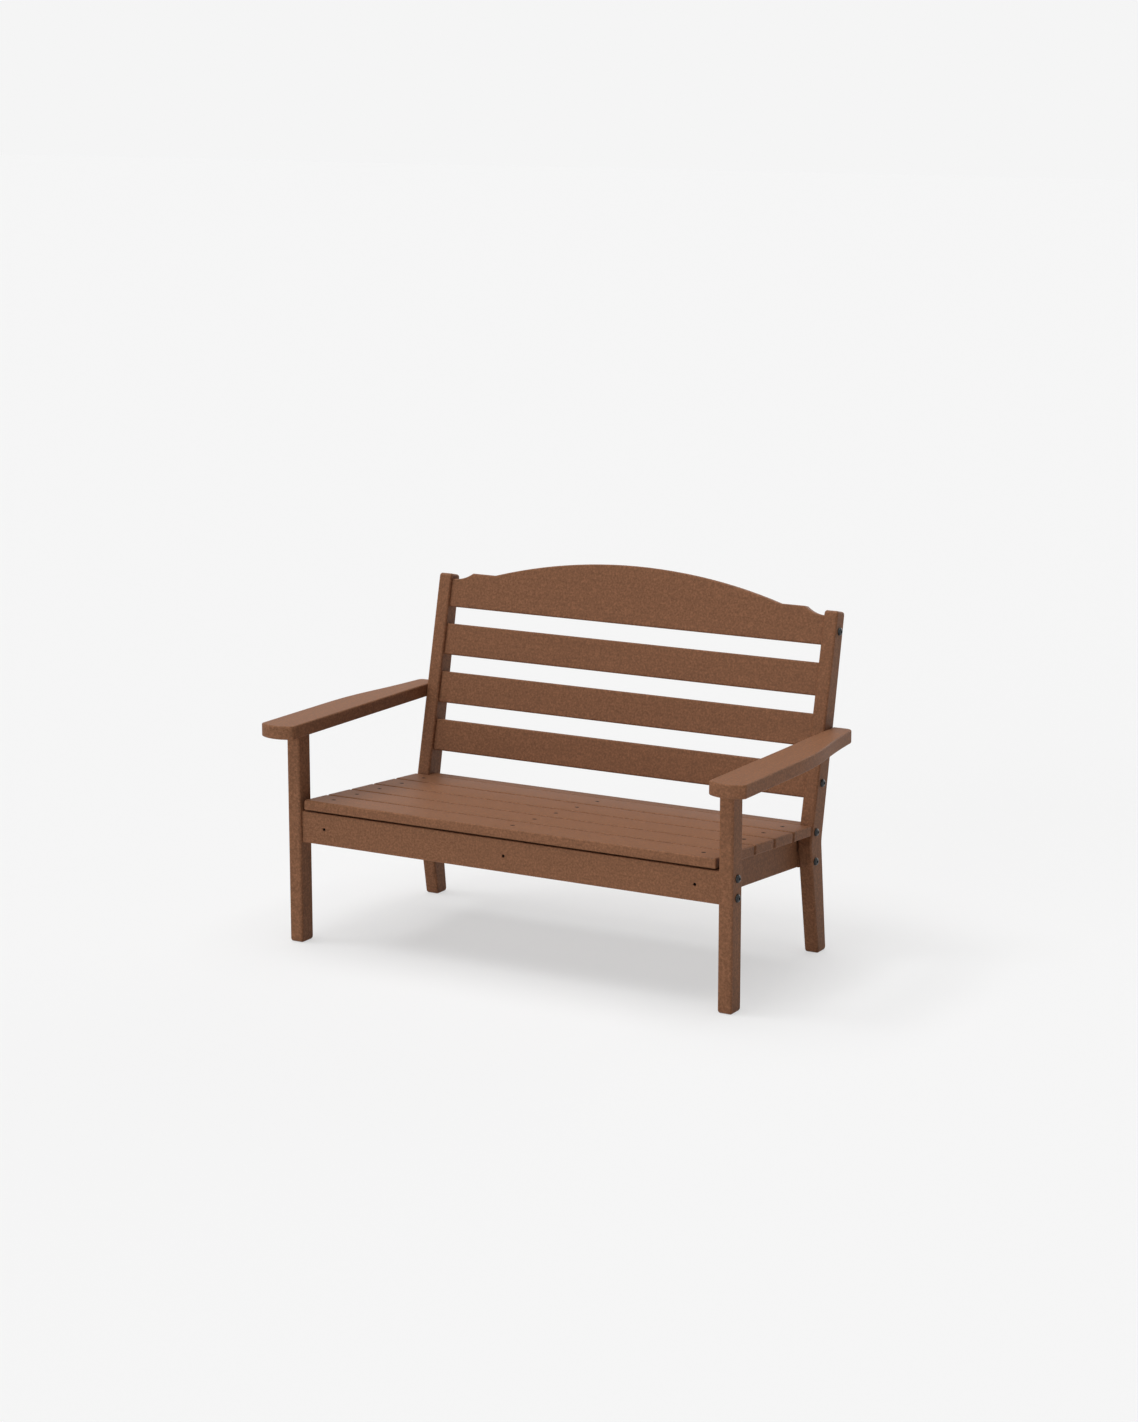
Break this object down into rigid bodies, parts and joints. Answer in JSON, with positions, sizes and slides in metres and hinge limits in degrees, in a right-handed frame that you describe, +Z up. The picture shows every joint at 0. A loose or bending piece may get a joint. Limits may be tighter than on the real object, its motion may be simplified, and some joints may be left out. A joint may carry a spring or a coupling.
{
  "type": "kids bench",
  "caption": "Child-size garden bench of brown plastic lumber with a sloped slat seat, a reclined slat back under an arched crest rail, and level arms.",
  "frame": {"origin": "on the floor, in the middle of the bench's width and depth", "axes": "+X across the bench to the right as seen from the front, +Y to the rear, +Z up"},
  "size_m": [0.9456, 0.5236, 0.6404],
  "materials": {
    "lumber": "moulded plastic lumber coloured brown all through, fine satin skin with a faint grain",
    "black_bolt": "black coated steel, satin",
    "zinc_nut": "zinc plated steel",
    "coated_screw": "black coated steel",
    "dowel": "plain extruded plastic rod"
  },
  "bodies": {
    "root": {"front_leg_left": "lumber", "front_leg_right": "lumber", "rear_leg_left": "lumber", "rear_leg_right": "lumber", "front_apron": "lumber", "rear_apron": "lumber", "seat_support_left": "lumber", "seat_support_middle": "lumber", "seat_support_right": "lumber", "seat_slat_1": "lumber", "seat_slat_2": "lumber", "seat_slat_3": "lumber", "seat_slat_4": "lumber", "seat_slat_5": "lumber", "back_slat_1": "lumber", "back_slat_2": "lumber", "back_slat_3": "lumber", "crest_rail": "lumber", "arm_left": "lumber", "arm_right": "lumber", "front_apron_bolts": "black_bolt", "rear_apron_bolts": "black_bolt", "back_bolts": "black_bolt", "front_apron_nuts": "zinc_nut", "rear_apron_nuts": "zinc_nut", "back_nuts": "zinc_nut", "front_apron_screws": "coated_screw", "rear_apron_screws": "coated_screw", "seat_screws": "coated_screw", "arm_screws": "coated_screw", "arm_dowels": "dowel", "back_dowels": "dowel"}
  },
  "joints": []
}
